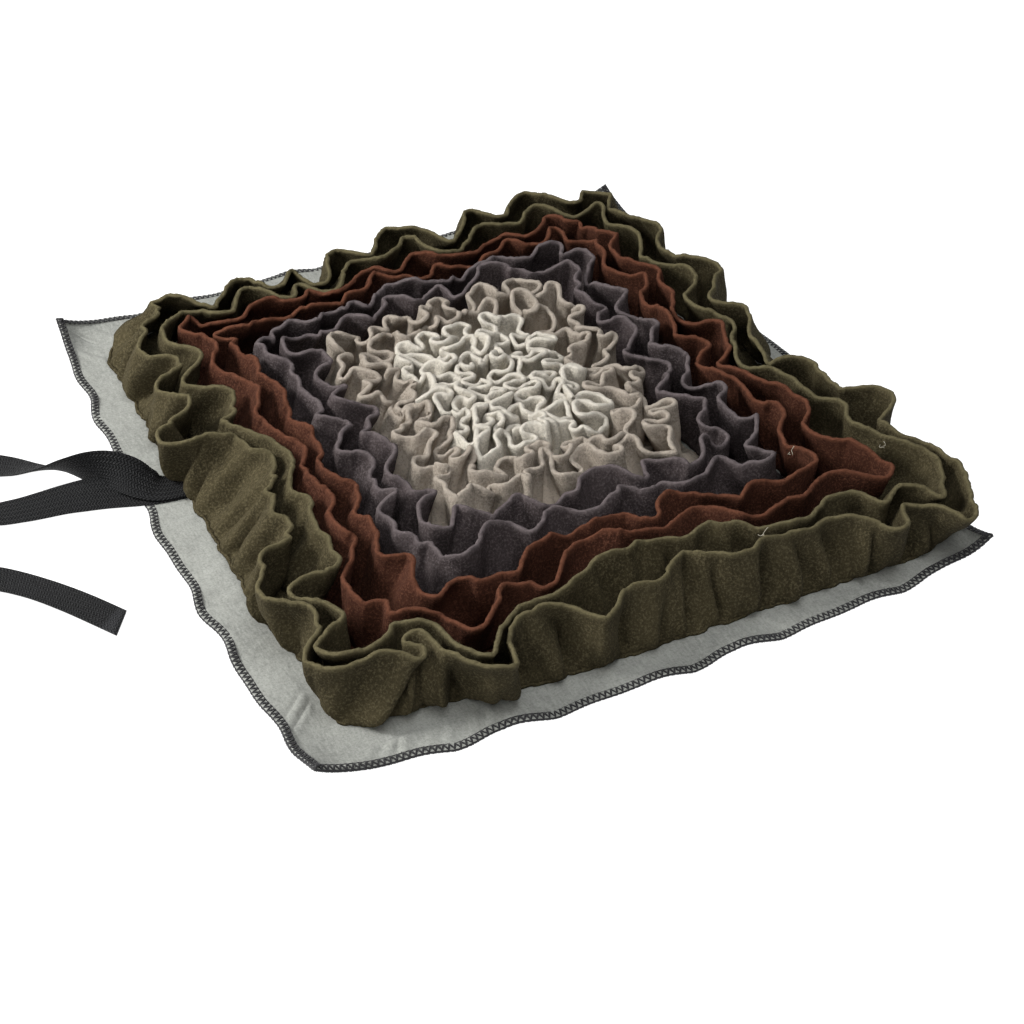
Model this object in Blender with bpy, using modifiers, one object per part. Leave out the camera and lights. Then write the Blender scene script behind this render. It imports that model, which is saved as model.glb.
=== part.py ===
"""Snuffle mat: rows of gathered fleece sewn in rounded rectangles on a felt backing,
with two tails of webbing sewn to its left border. Sizes in millimetres, scene in metres."""

import math

import bmesh
import bpy
import numpy as np

# ---------------------------------------------------------------- named sizes
MM = 0.001
BACKING_HALF = (225.0, 250.0)     # the flat size of the backing, halved
BACKING_THICK = 1.5
EDGE_BOW = 8.0                    # how far the middle of an edge stands out from its corners
CORNER_CURL = 15.0                # how high the corners curl off the floor
ROW_STEP = 19.3                   # one seam to the next
FOOT_MID = (5.0, -3.0)            # the middle of the seams
FOOT_HALF = (206.0, 228.5)        # the outer seam, halved
SEAM_ROUND = 28.0                 # corner radius of the outer seams
FOOT_Z = 1.8                      # where the fleece stands on the backing
RIM_Z = 46.5                      # height of the cut rims
FLEECE = 2.1                      # thickness of the fleece
STITCH = 4.0                      # the fleece is worked out at this spacing along its rim
CLEAR = 6.2                       # folds are eased this far apart, centre to centre
NEST_REACH = 24.0                 # how far inward a fold of the outer rows is felt
KEEP_EVERY = 19.0                 # the solids keep a point about this often,
KEEP_TURN = 1.62                  # or after this much turning, in radians
BACKING_STEPS = 80                # points round the backing
FLAT_HALF = (209.5, 232.0)        # the middle of the backing, flat on the floor
WEB_AT = 0.148                    # share of the left edge, from its middle, where the webbing is sewn
WEB_WIDE = 25.0
WEB_THICK = 1.3

# ------------------------------------------------------------------- tables
# One line for each crest and hollow of the two outer rows: where its foot is sewn
# (foot_x, foot_y) and where its rim lies (rim_x, rim_y).
OUTER_FOLDS = (
    (-201, 188, -166, 186), (-201, 170, -178, 172), (-201, 150, -191, 151),
    (-201, 124, -178, 116), (-201, 100, -200, 98), (-201, 78, -184, 76), (-201, 58, -196, 58),
    (-201, 44, -214, 40), (-201, 30, -205, 26), (-201, 14, -184, 27), (-201, 0, -166, 12),
    (-201, -22, -160, -16), (-201, -46, -168, -40), (-201, -66, -176, -60),
    (-201, -86, -171, -80), (-201, -104, -192, -100), (-201, -116, -206, -113),
    (-201, -130, -211, -130), (-201, -150, -198, -153), (-201, -168, -184, -168),
    (-201, -182, -203, -180), (-201, -194, -209, -191), (-199, -209, -190, -207),
    (-192, -224, -168, -210), (-180, -231, -146, -225), (-168, -231, -143, -217),
    (-158, -231, -156, -206), (-146, -231, -145, -198), (-134, -231, -136, -214),
    (-121, -231, -122, -241), (-106, -231, -104, -249), (-90, -231, -91, -225),
    (-70, -231, -70, -213), (-56, -231, -54, -222), (-40, -231, -42, -236),
    (-15, -231, -15, -222), (2, -231, 5, -218), (18, -231, 20, -204), (36, -231, 35, -213),
    (60, -231, 60, -224), (92, -231, 94, -218), (117, -231, 118, -216),
    (138, -231, 140, -229), (154, -231, 158, -248), (171, -231, 172, -223),
    (184, -231, 184, -231), (194, -229, 195, -260), (205, -220, 212, -243),
    (211, -203, 224, -207), (211, -180, 217, -173), (211, -156, 208, -149),
    (211, -134, 230, -131), (211, -114, 208, -108), (211, -90, 208, -82),
    (211, -70, 198, -62), (211, -54, 180, -55), (211, -34, 186, -36), (211, -10, 198, -8),
    (211, 8, 197, 7), (211, 24, 187, 20), (211, 44, 201, 42), (211, 64, 212, 66),
    (211, 84, 203, 86), (211, 100, 189, 102), (211, 130, 203, 130), (211, 150, 196, 150),
    (211, 170, 186, 168), (210, 200, 196, 190), (196, 220, 180, 204), (176, 225, 172, 192),
    (156, 225, 158, 200), (137, 225, 138, 222), (112, 225, 109, 202), (88, 225, 86, 210),
    (60, 225, 58, 184), (40, 225, 40, 204), (24, 225, 22, 220), (-8, 225, -8, 187),
    (-25, 225, -24, 207), (-46, 225, -47, 172), (-64, 225, -62, 198), (-82, 225, -80, 178),
    (-100, 225, -98, 203), (-133, 225, -133, 175), (-160, 225, -150, 198),
    (-186, 220, -164, 200),
)
SECOND_FOLDS = (
    (-182, 174, -160, 174), (-182, 150, -174, 150), (-182, 118, -160, 118),
    (-182, 98, -178, 97), (-182, 66, -156, 66), (-182, 46, -166, 44), (-182, 30, -176, 36),
    (-182, 14, -158, 22), (-182, -8, -146, -6), (-182, -44, -154, -42), (-182, -66, -150, -66),
    (-182, -84, -160, -84), (-182, -112, -155, -112), (-182, -126, -163, -128),
    (-182, -136, -182, -133), (-182, -146, -200, -145), (-182, -158, -182, -159),
    (-182, -170, -172, -172), (-182, -180, -186, -181), (-182, -188, -200, -189),
    (-178, -198, -184, -202), (-166, -209, -164, -203), (-154, -212, -150, -190),
    (-140, -212, -138, -196), (-128, -212, -126, -216), (-113, -212, -112, -239),
    (-94, -212, -96, -220), (-76, -212, -76, -206), (-50, -212, -50, -204),
    (-20, -212, -18, -194), (8, -212, 10, -187), (32, -212, 33, -197), (54, -212, 54, -191),
    (76, -212, 76, -202), (98, -212, 97, -210), (122, -212, 128, -206), (142, -212, 144, -204),
    (156, -212, 160, -221), (170, -210, 176, -210), (182, -205, 188, -216),
    (188, -199, 198, -236), (191, -186, 210, -218), (192, -172, 213, -190),
    (192, -156, 201, -167), (192, -138, 186, -141), (192, -118, 200, -118),
    (192, -96, 186, -96), (192, -70, 176, -70), (192, -52, 164, -52), (192, -30, 170, -32),
    (192, -8, 184, -6), (192, 14, 174, 12), (192, 30, 171, 28), (192, 62, 194, 64),
    (192, 84, 186, 84), (192, 100, 172, 102), (192, 128, 184, 130), (192, 156, 174, 156),
    (188, 190, 178, 182), (168, 206, 160, 178), (150, 206, 148, 188), (137, 206, 134, 203),
    (114, 206, 116, 182), (92, 206, 88, 194), (70, 206, 68, 174), (48, 206, 46, 168),
    (26, 206, 26, 200), (4, 206, 4, 180), (-20, 206, -20, 186), (-46, 206, -46, 155),
    (-64, 206, -64, 180), (-80, 206, -78, 160), (-98, 206, -98, 186), (-120, 206, -120, 160),
    (-146, 206, -142, 178), (-172, 196, -154, 180),
)
# One line for each row, outer row first: name, cloth, gather (rim over seam), length
# and depth of its first waves. The rows with folds listed above have no waves.
ROWS = (
    ("ruffle_olive_1", "fleece_olive", 0, 0, 0), ("ruffle_olive_2", "fleece_olive", 0, 0, 0),
    ("ruffle_brown_1", "fleece_brown", 1.50, 60, 6.0),
    ("ruffle_brown_2", "fleece_brown", 1.65, 52, 6.5),
    ("ruffle_plum_1", "fleece_plum", 1.80, 49, 6.5),
    ("ruffle_plum_2", "fleece_plum", 1.90, 45, 6.5),
    ("ruffle_taupe_1", "fleece_taupe", 2.05, 42, 6.5),
    ("ruffle_taupe_2", "fleece_taupe", 2.20, 38, 6.5),
    ("ruffle_cream_1", "fleece_cream", 2.60, 32, 6.0),
    ("ruffle_cream_2", "fleece_cream", 2.90, 28, 6.0),
    ("ruffle_cream_3", "fleece_cream", 3.00, 25, 5.0),
)
# Three further folds of the outer brown row that the olive rows are nested on.
BROWN_FOLDS = (
    (-162, -118, -143, -116), (-162, -143, -178, -147), (-162, -162, -161, -166),
    (-140, -192, -136, -178), (-116, -192, -112, -216), (118, -192, 121, -200),
    (146, -192, 148, -181),
)
# Webbing tails, a line for each section: middle x, y, z and roll in degrees (0 = flat).
TAIL_LOWER = (
    (-206, 37, 2.55, 0), (-217, 38.5, 2.55, 0), (-229, 42, 2.6, 0), (-239, 45, 2.5, 0),
    (-251, 48.5, 1.2, 0), (-264, 52, 0.65, 0), (-277, 55.5, 0.65, 0), (-302, 60, 0.65, 0),
    (-323, 65, 1.4, -6),
    (-342, 68, 7.0, -40), (-360, 66, 12.6, -82), (-378, 56, 12.9, -90), (-387, 40, 12.9, -90),
    (-384, 24, 12.8, -80), (-372, 16, 7.8, -45), (-354, 11, 1.6, -8), (-336, 0, 0.65, 0),
    (-317, -19, 0.65, 0), (-300, -40, 0.65, 0), (-284, -60, 0.65, 0),
)
TAIL_UPPER = (
    (-206, 37, 4.3, 0), (-217, 40, 4.8, 2), (-226, 46.5, 7.6, 12), (-234, 54, 12.8, 34),
    (-245, 63, 15.6, 62), (-257, 71, 15.6, 90), (-268, 79, 14.6, 118), (-279, 89, 11.2, 144),
    (-291, 101, 6.2, 164), (-303, 114, 2.2, 177), (-320, 127, 0.9, 180), (-342, 140, 1.8, 184),
    (-366, 147, 8.5, 225), (-392, 146, 12.7, 264), (-415, 132, 12.9, 270),
    (-428, 108, 12.9, 270), (-431, 78, 12.9, 270), (-428, 48, 12.9, 270),
    (-420, 20, 12.6, 262), (-408, 0, 7.6, 222), (-392, -12, 1.6, 188), (-372, -22, 0.65, 180),
    (-350, -36, 0.65, 180),
)
# Waves of each edge of the backing, from the left one on: count, size, shift.
EDGE_WAVES = (
    ((7, 1.6, 0.2), (11, 1.0, 0.7)), ((6, 1.7, 0.5), (9, 1.2, 0.1)),
    ((5, 1.4, 0.3), (8, 0.9, 0.6)), ((6, 1.5, 0.9), (10, 0.8, 0.3)),
)
# Colour of each cloth.
CLOTHS = {
    "felt_grey": (0.44, 0.46, 0.45), "fleece_olive": (0.110, 0.092, 0.036),
    "fleece_brown": (0.115, 0.040, 0.022), "fleece_plum": (0.115, 0.092, 0.104),
    "fleece_taupe": (0.300, 0.265, 0.225), "fleece_cream": (0.62, 0.575, 0.50),
    "webbing_black": (0.014, 0.015, 0.017),
}


# ------------------------------------------------------- where the seams run
def seam_size(row):
    half_x = FOOT_HALF[0] - ROW_STEP * row
    half_y = FOOT_HALF[1] - ROW_STEP * row
    return half_x, half_y, min(SEAM_ROUND, 0.85 * half_x)


def seam_length(row):
    half_x, half_y, corner = seam_size(row)
    return 4 * (half_x + half_y) - (8 - 2 * math.pi) * corner


def seam(row, along):
    """Points of a row's seam, and the way out from it, at distances along it."""
    half_x, half_y, corner = seam_size(row)
    flats = (half_y - corner, half_x - corner)
    deeps = (half_x, half_y)
    turn = math.pi / 2 * corner
    along = np.mod(along, seam_length(row))
    points, out = np.zeros((len(along), 2)), np.zeros((len(along), 2))
    begin = 0.0
    for side in range(4):
        spin = math.pi + side * math.pi / 2
        way = np.array([math.cos(spin), math.sin(spin)])
        run = np.array([-math.sin(spin), math.cos(spin)])
        flat, deep = flats[side % 2], deeps[side % 2]
        here = (along >= begin) & (along < begin + 2 * flat)
        points[here] = way * deep + run * ((along[here] - begin)[:, None] - flat)
        out[here] = way
        begin += 2 * flat
        here = (along >= begin) & (along < begin + turn)
        angle = spin + (along[here] - begin) / corner
        ray = np.stack([np.cos(angle), np.sin(angle)], axis=1)
        points[here] = way * (deep - corner) + run * flat + corner * ray
        out[here] = ray
        begin += turn
    return points + np.array(FOOT_MID), out


def nearest_along(row, spots):
    along = np.arange(0, seam_length(row), 0.5)
    points, _ = seam(row, along)
    gap = ((spots[:, None] - points[None]) ** 2).sum(axis=2)
    return along[gap.argmin(axis=1)]


# ------------------------------------------------------- how the rims fold
def listed_row(row, folds):
    """Feet and rims of a row that runs smoothly through its listed crests and hollows."""
    table = np.array(folds, float)
    along = nearest_along(row, table[:, :2])
    order = np.argsort(along)
    rims, along = table[order, 2:], along[order]
    total = seam_length(row)
    knots = np.concatenate([rims[-2:], rims, rims[:3]])
    stations = np.concatenate([along[-2:] - total, along, along[:3] + total])
    share = np.linspace(0, 1, 16, endpoint=False)[:, None]
    line, foot_at = [], []
    for k in range(2, len(rims) + 2):
        a, b, c, d = knots[k - 1], knots[k], knots[k + 1], knots[k + 2]
        spans = [math.sqrt(max(1.0, math.dist(p, q))) for p, q in ((a, b), (b, c), (c, d))]
        start = (b - a) / spans[0] - (c - a) / (spans[0] + spans[1]) + (c - b) / spans[1]
        end = (c - b) / spans[1] - (d - b) / (spans[1] + spans[2]) + (d - c) / spans[2]
        start, end = start * spans[1], end * spans[1]
        line.append((2 * share**3 - 3 * share**2 + 1) * b + (share**3 - 2 * share**2 + share) * start
                    + (3 * share**2 - 2 * share**3) * c + (share**3 - share**2) * end)
        foot_at.append(stations[k] + (stations[k + 1] - stations[k]) * share[:, 0])
    line, foot_at = np.concatenate(line), np.concatenate(foot_at)
    closed = np.concatenate([line, line[:1]])
    run = np.concatenate([[0], np.cumsum(np.linalg.norm(np.diff(closed, axis=0), axis=1))])
    count = int(round(run[-1] / STITCH))
    want = np.arange(count) * run[-1] / count
    foot_at = np.concatenate([foot_at, [foot_at[0] + total]])
    rims = np.stack([np.interp(want, run, closed[:, axis]) for axis in (0, 1)], axis=1)
    return seam(row, np.interp(want, run, foot_at))[0], rims


def nested(points, steps=12):
    """Where points come to lie when the outer rows fold over: nothing crosses on the way."""
    table = np.array(OUTER_FOLDS + SECOND_FOLDS, float)
    feet, travel = table[:, :2], table[:, 2:] - table[:, :2]
    for number in range(steps):
        spots = feet + travel * (number + 0.5) / steps
        apart = ((spots[:, None] - spots[None]) ** 2).sum(axis=2)
        share = np.exp(-apart / (2 * NEST_REACH**2)) + 0.04 * np.eye(len(spots))
        weights = np.linalg.solve(share, travel)
        half = points
        for part in (0.5, 1.0):
            spread = ((half[:, None] - spots[None]) ** 2).sum(axis=2)
            half = points + np.exp(-spread / (2 * NEST_REACH**2)) @ weights * part / steps
        points = half
    return points


def waved_row(row):
    """Feet and first rims of a row that starts with uneven waves."""
    _, _, gather, wave, depth = ROWS[row]
    total = seam_length(row)
    count = int(round(gather * total / STITCH))
    along = np.arange(count) * total / count
    feet, out = seam(row, along)
    turn = 2 * math.pi * along / total
    waves = max(3, round(total / wave))
    uneven = 1.2 * np.sin(2 * turn + 1.3 * row) + 0.9 * np.sin(5 * turn + 2.1 * row)
    swing = np.sin(waves * turn + 1.9 * row + uneven)
    swing += 0.45 * np.sin((waves // 2 + 1) * turn + 0.6 * row + uneven)
    size = depth * (1 + 0.35 * np.sin(3 * turn + row))
    return feet, nested(feet + out * (swing * size * 0.7)[:, None])


def close_pairs(points, rows, reach):
    """Pairs of points that are near each other but not beside each other on a row."""
    firsts, seconds = [], []
    for row in range(len(ROWS)):
        mine = np.nonzero(rows == row)[0]
        for other in (row, row + 1, row + 2):
            theirs = np.nonzero(rows == other)[0]
            if not len(theirs):
                continue
            gap = ((points[mine][:, None] - points[theirs][None]) ** 2).sum(axis=2)
            a, b = np.nonzero(gap < reach**2)
            if other == row:
                step = (b - a) % len(mine)
                keep = (b > a) & (step > 3) & (step < len(mine) - 3)
                a, b = a[keep], b[keep]
            firsts.append(mine[a])
            seconds.append(theirs[b])
    return np.concatenate(firsts), np.concatenate(seconds)


def folded_rows(rounds=300):
    """Feet and rims of every row: rims grow to their gathered length and keep clear."""
    feet, rims, rows, before, after, rest, hold = [], [], [], [], [], [], []
    first_at = 0
    for row, (_, _, gather, _, _) in enumerate(ROWS):
        if gather:
            foot, rim = waved_row(row)
        else:
            foot, rim = listed_row(row, (OUTER_FOLDS, SECOND_FOLDS)[row])
        count = len(foot)
        index = np.arange(count)
        feet.append(foot)
        rims.append(rim)
        rows.append(np.full(count, row))
        before.append(first_at + (index - 1) % count)
        after.append(first_at + (index + 1) % count)
        rest.append(np.full(count, gather * seam_length(row) / count if gather else 0.0))
        hold.append(np.full(count, 0.0 if gather else 0.25))
        first_at += count
    feet, rims, rows = np.concatenate(feet), np.concatenate(rims), np.concatenate(rows)
    before, after = np.concatenate(before), np.concatenate(after)
    rest, hold = np.concatenate(rest), np.concatenate(hold)[:, None]
    home = rims.copy()
    brown = np.array(BROWN_FOLDS, float)
    third = np.nonzero(rows == 2)[0]
    pinned = third[((feet[third][None] - brown[:, None, :2]) ** 2).sum(axis=2).argmin(axis=1)]
    first_size = np.linalg.norm(rims[after] - rims, axis=1)
    rest = np.where(rest > 0, rest, first_size)
    for number in range(rounds):
        if number % 5 == 0:
            first, second = close_pairs(rims, rows, CLEAR + 7)
        grown = min(1.0, number / (0.75 * rounds))
        want = first_size * (1 - grown) + rest * grown
        edge = rims[after] - rims
        size = np.linalg.norm(edge, axis=1)
        pull = edge * (0.4 * (size - want) / np.maximum(size, 0.1))[:, None]
        move = pull.copy()
        np.add.at(move, after, -pull)
        curve = rims[before] - 2 * rims + rims[after]
        move -= 0.045 * (curve[before] - 2 * curve + curve[after])
        for level, strength in ((1.0, 0.5), (0.6, 0.3)):
            at = feet + (rims - feet) * level
            way = at[second] - at[first]
            gap = np.linalg.norm(way, axis=1)
            limit = CLEAR * (1.0 if level == 1.0 else 0.85)
            near = gap < limit
            shove = way[near] * (strength * (limit - gap[near]) / np.maximum(gap[near], 0.05))[:, None]
            np.add.at(move, second[near], shove)
            np.add.at(move, first[near], -shove)
        lean = rims - feet
        reach = np.linalg.norm(lean, axis=1)
        move -= lean * (0.06 * np.maximum(reach - 24, 0) / np.maximum(reach, 1))[:, None] * (hold == 0)
        move += (home - rims) * hold
        if grown < 0.8:
            move[pinned] += (brown[:, 2:] - rims[pinned]) * 0.2
        far = np.linalg.norm(move, axis=1)
        rims = rims + move * np.minimum(1, 0.6 / np.maximum(far, 1e-6))[:, None]
    return feet, rims, rows


# ----------------------------------------------------------------- solids
def turned(before, here, after):
    """Angle by which each line of points turns at a point."""
    first, second = here - before, after - here
    cross = first[:, 0] * second[:, 1] - first[:, 1] * second[:, 0]
    return np.abs(np.arctan2(cross, (first * second).sum(axis=1)))


def rim_height(feet, rims, row):
    lean = np.linalg.norm(rims - feet, axis=1)
    sway = 0.9 * np.sin(rims[:, 0] / 31 + row) + 0.8 * np.sin(rims[:, 1] / 27 + 2 * row)
    return RIM_Z + sway - 0.12 * np.maximum(lean - 18, 0)


def fewer(feet, rims):
    """Points of a row that its solid keeps: closer together where it turns."""
    after = np.roll(rims, -1, axis=0)
    turn = turned(np.roll(rims, 1, axis=0), rims, after)
    cost = np.linalg.norm(after - rims, axis=1) / KEEP_EVERY + turn / KEEP_TURN
    run = np.cumsum(cost)
    return np.unique(np.searchsorted(run, np.arange(0.5, run[-1], 1.0)))


def sheet(name, rings, thick, offset, slot, closed=True, filled=False):
    """Cloth lofted through rings of points and made solid: offset 0 is both ways."""
    cloth = bmesh.new()
    loops = [[cloth.verts.new([value * MM for value in point]) for point in ring] for ring in rings]
    count = len(loops[0])
    for low, high in zip(loops[:-1], loops[1:]):
        for a in range(count if closed else count - 1):
            b = (a + 1) % count
            cloth.faces.new((low[a], low[b], high[b], high[a]))
    if filled:
        cloth.faces.new(loops[-1])
    mesh = bpy.data.meshes.new(name)
    cloth.to_mesh(mesh)
    cloth.free()
    material = bpy.data.materials.get(slot)
    if material is None:
        material = bpy.data.materials.new(slot)
        material.use_nodes = True
        shader = material.node_tree.nodes["Principled BSDF"]
        shader.inputs["Base Color"].default_value = (*CLOTHS[slot], 1.0)
        shader.inputs["Roughness"].default_value = 0.95
    mesh.materials.append(material)
    solid = bpy.data.objects.new(name, mesh)
    bpy.data.collections["snuffle_mat"].objects.link(solid)
    solidify = solid.modifiers.new("cloth thickness", "SOLIDIFY")
    solidify.thickness = thick * MM
    solidify.offset = offset


def ruffle(row, feet, rims):
    """A strip from its seam to its folded rim. Its lower edge clears the backing as it leans."""
    name, slot = ROWS[row][:2]
    keep = fewer(feet, rims)
    tall = rim_height(feet, rims, row)[keep]
    feet, rims = feet[keep], rims[keep]
    lean = np.linalg.norm(rims - feet, axis=1)
    low = FOOT_Z + FLEECE / 2 * lean / np.hypot(lean, tall - FOOT_Z)
    sheet(name, (np.column_stack([feet, low]), np.column_stack([rims, tall])), FLEECE, 0.0, slot)


def edge_point(share):
    """Outline of the backing at a share of the way round: x, y and lift off the floor."""
    side = int(share * 4) % 4
    part = share * 8 % 2 - 1
    half_x, half_y = BACKING_HALF
    bow = EDGE_BOW * (1 - part**2)
    wave = EDGE_WAVES[side]
    out = bow + sum(size * math.sin(math.pi * (count * part + shift)) * (1 - part**6)
                    for count, size, shift in wave)
    lift = CORNER_CURL * abs(part)**9
    lift += max(0, sum(0.9 * size * math.sin(math.pi * (count * part + shift + 0.5))
                       for count, size, shift in wave)) * (1 - part**4)
    if side == 0:
        return -half_x - out, -part * half_y, lift * min(1.0, ((part + WEB_AT) / 0.16) ** 2)
    if side == 1:
        return part * half_x, -half_y - out, lift
    if side == 2:
        return half_x + out, part * half_y, lift
    return -part * half_x, half_y + out, lift


def backing():
    """One sheet: its rim bows and curls, its middle is flat on the floor."""
    outer = np.array([edge_point(number / BACKING_STEPS) for number in range(BACKING_STEPS)])
    inner = outer[:, :2] - np.array(FOOT_MID)
    size = np.abs(inner / np.array(FLAT_HALF))
    inner = inner / np.maximum(size[:, :1], size[:, 1:]) + np.array(FOOT_MID)
    rings = [np.column_stack([inner + (outer[:, :2] - inner) * share, outer[:, 2] * lifted])
             for share, lifted in ((1.0, 1.0), (0.62, 0.36), (0.3, 0.08), (0.0, 0.0))]
    sheet("backing", rings, BACKING_THICK, 1.0, "felt_grey", filled=True)


def smoothed(table, parts):
    """Sections between the listed ones, so that webbing runs on smoothly through them."""
    ends = np.concatenate([2 * table[:1] - table[1:2], table, 2 * table[-1:] - table[-2:-1]])
    lines = []
    for share in np.arange(parts) / parts:
        a, b, c, d = ends[:-3], ends[1:-2], ends[2:-1], ends[3:]
        lines.append(0.5 * (2 * b + (c - a) * share + (2 * a - 5 * b + 4 * c - d) * share**2
                            + (3 * b - a - 3 * c + d) * share**3))
    return np.concatenate([np.stack(lines, axis=1).reshape(-1, table.shape[1]), table[-1:]])


def tail(name, sections):
    """A length of webbing through its listed sections."""
    table = smoothed(np.array(sections, float), 2)
    middle = table[:, :3]
    roll = np.radians(table[:, 3])
    way = np.gradient(middle, axis=0)
    way /= np.linalg.norm(way, axis=1)[:, None]
    level = np.cross([0, 0, -1.0], way)
    level /= np.linalg.norm(level, axis=1)[:, None]
    rise = np.cross(level, way)
    rise *= np.sign(rise[:, 2:])
    across = level * np.cos(roll)[:, None] + rise * np.sin(roll)[:, None]
    edges = (middle + across * WEB_WIDE / 2, middle - across * WEB_WIDE / 2)
    sheet(name, edges, WEB_THICK, 0.0, "webbing_black", closed=False)


def main():
    for old in list(bpy.data.objects):
        bpy.data.objects.remove(old, do_unlink=True)
    bpy.context.scene.collection.children.link(bpy.data.collections.new("snuffle_mat"))
    feet, rims, rows = folded_rows()
    for row in range(len(ROWS)):
        ruffle(row, feet[rows == row], rims[rows == row])
    backing()
    tail("strap_lower", TAIL_LOWER)
    tail("strap_upper", TAIL_UPPER)


main()
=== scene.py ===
"""Snuffle mat: the looks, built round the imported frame. Sizes in millimetres, scene in metres."""

import collections
import math

import bmesh
import bpy
import numpy as np
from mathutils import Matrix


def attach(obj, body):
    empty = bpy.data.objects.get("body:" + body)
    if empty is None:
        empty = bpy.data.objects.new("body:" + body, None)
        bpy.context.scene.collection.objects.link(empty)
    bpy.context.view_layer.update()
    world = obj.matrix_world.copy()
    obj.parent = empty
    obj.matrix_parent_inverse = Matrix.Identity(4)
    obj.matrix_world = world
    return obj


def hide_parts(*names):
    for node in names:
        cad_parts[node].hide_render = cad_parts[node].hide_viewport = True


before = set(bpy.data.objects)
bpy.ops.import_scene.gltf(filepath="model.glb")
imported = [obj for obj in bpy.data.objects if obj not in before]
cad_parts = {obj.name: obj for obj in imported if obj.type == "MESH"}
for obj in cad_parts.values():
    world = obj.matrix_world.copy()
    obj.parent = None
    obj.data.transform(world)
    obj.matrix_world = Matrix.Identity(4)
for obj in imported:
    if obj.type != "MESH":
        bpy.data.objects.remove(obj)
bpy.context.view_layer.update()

# -------- camera
lens = bpy.data.cameras.new("camera")
lens.lens = 66.9
lens.sensor_width = 36.0
camera = bpy.data.objects.new("camera", lens)
camera.location = (-0.4483, -0.9378, 0.7545)
camera.rotation_euler = (math.radians(51.8), 0.0, math.radians(-26.4))
bpy.context.scene.collection.objects.link(camera)
bpy.context.scene.camera = camera

# -------- sizes and folds of the mat's pieces
MM = 0.001
BACKING_HALF = (225.0, 250.0)
BACKING_THICK = 1.5
EDGE_BOW = 8.0
CORNER_CURL = 15.0
ROW_STEP = 19.3
FOOT_MID = np.array((5.0, -3.0))
FOOT_HALF = (206.0, 228.5)
SEAM_ROUND = 28.0
FOOT_Z = 1.8
RIM_Z = 46.5
STITCH = 4.0
CLEAR = 6.2
NEST_REACH = 24.0
LEAN_FREE = 24.0                  # a rim that leans further out is drawn back
FLAT_HALF = np.array((209.5, 232.0))
WEB_AT = 0.148
WEB_WIDE = 25.0
WEB_THICK = 1.3

# One line for each crest and hollow of the two outer rows: where its foot is sewn
# (foot_x, foot_y) and where its rim lies (rim_x, rim_y).
OUTER_FOLDS = (
    (-201, 188, -166, 186), (-201, 170, -178, 172), (-201, 150, -191, 151),
    (-201, 124, -178, 116), (-201, 100, -200, 98), (-201, 78, -184, 76), (-201, 58, -196, 58),
    (-201, 44, -214, 40), (-201, 30, -205, 26), (-201, 14, -184, 27), (-201, 0, -166, 12),
    (-201, -22, -160, -16), (-201, -46, -168, -40), (-201, -66, -176, -60),
    (-201, -86, -171, -80), (-201, -104, -192, -100), (-201, -116, -206, -113),
    (-201, -130, -211, -130), (-201, -150, -198, -153), (-201, -168, -184, -168),
    (-201, -182, -203, -180), (-201, -194, -209, -191), (-199, -209, -190, -207),
    (-192, -224, -168, -210), (-180, -231, -146, -225), (-168, -231, -143, -217),
    (-158, -231, -156, -206), (-146, -231, -145, -198), (-134, -231, -136, -214),
    (-121, -231, -122, -241), (-106, -231, -104, -249), (-90, -231, -91, -225),
    (-70, -231, -70, -213), (-56, -231, -54, -222), (-40, -231, -42, -236),
    (-15, -231, -15, -222), (2, -231, 5, -218), (18, -231, 20, -204), (36, -231, 35, -213),
    (60, -231, 60, -224), (92, -231, 94, -218), (117, -231, 118, -216),
    (138, -231, 140, -229), (154, -231, 158, -248), (171, -231, 172, -223),
    (184, -231, 184, -231), (194, -229, 195, -260), (205, -220, 212, -243),
    (211, -203, 224, -207), (211, -180, 217, -173), (211, -156, 208, -149),
    (211, -134, 230, -131), (211, -114, 208, -108), (211, -90, 208, -82),
    (211, -70, 198, -62), (211, -54, 180, -55), (211, -34, 186, -36), (211, -10, 198, -8),
    (211, 8, 197, 7), (211, 24, 187, 20), (211, 44, 201, 42), (211, 64, 212, 66),
    (211, 84, 203, 86), (211, 100, 189, 102), (211, 130, 203, 130), (211, 150, 196, 150),
    (211, 170, 186, 168), (210, 200, 196, 190), (196, 220, 180, 204), (176, 225, 172, 192),
    (156, 225, 158, 200), (137, 225, 138, 222), (112, 225, 109, 202), (88, 225, 86, 210),
    (60, 225, 58, 184), (40, 225, 40, 204), (24, 225, 22, 220), (-8, 225, -8, 187),
    (-25, 225, -24, 207), (-46, 225, -47, 172), (-64, 225, -62, 198), (-82, 225, -80, 178),
    (-100, 225, -98, 203), (-133, 225, -133, 175), (-160, 225, -150, 198),
    (-186, 220, -164, 200),
)
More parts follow.
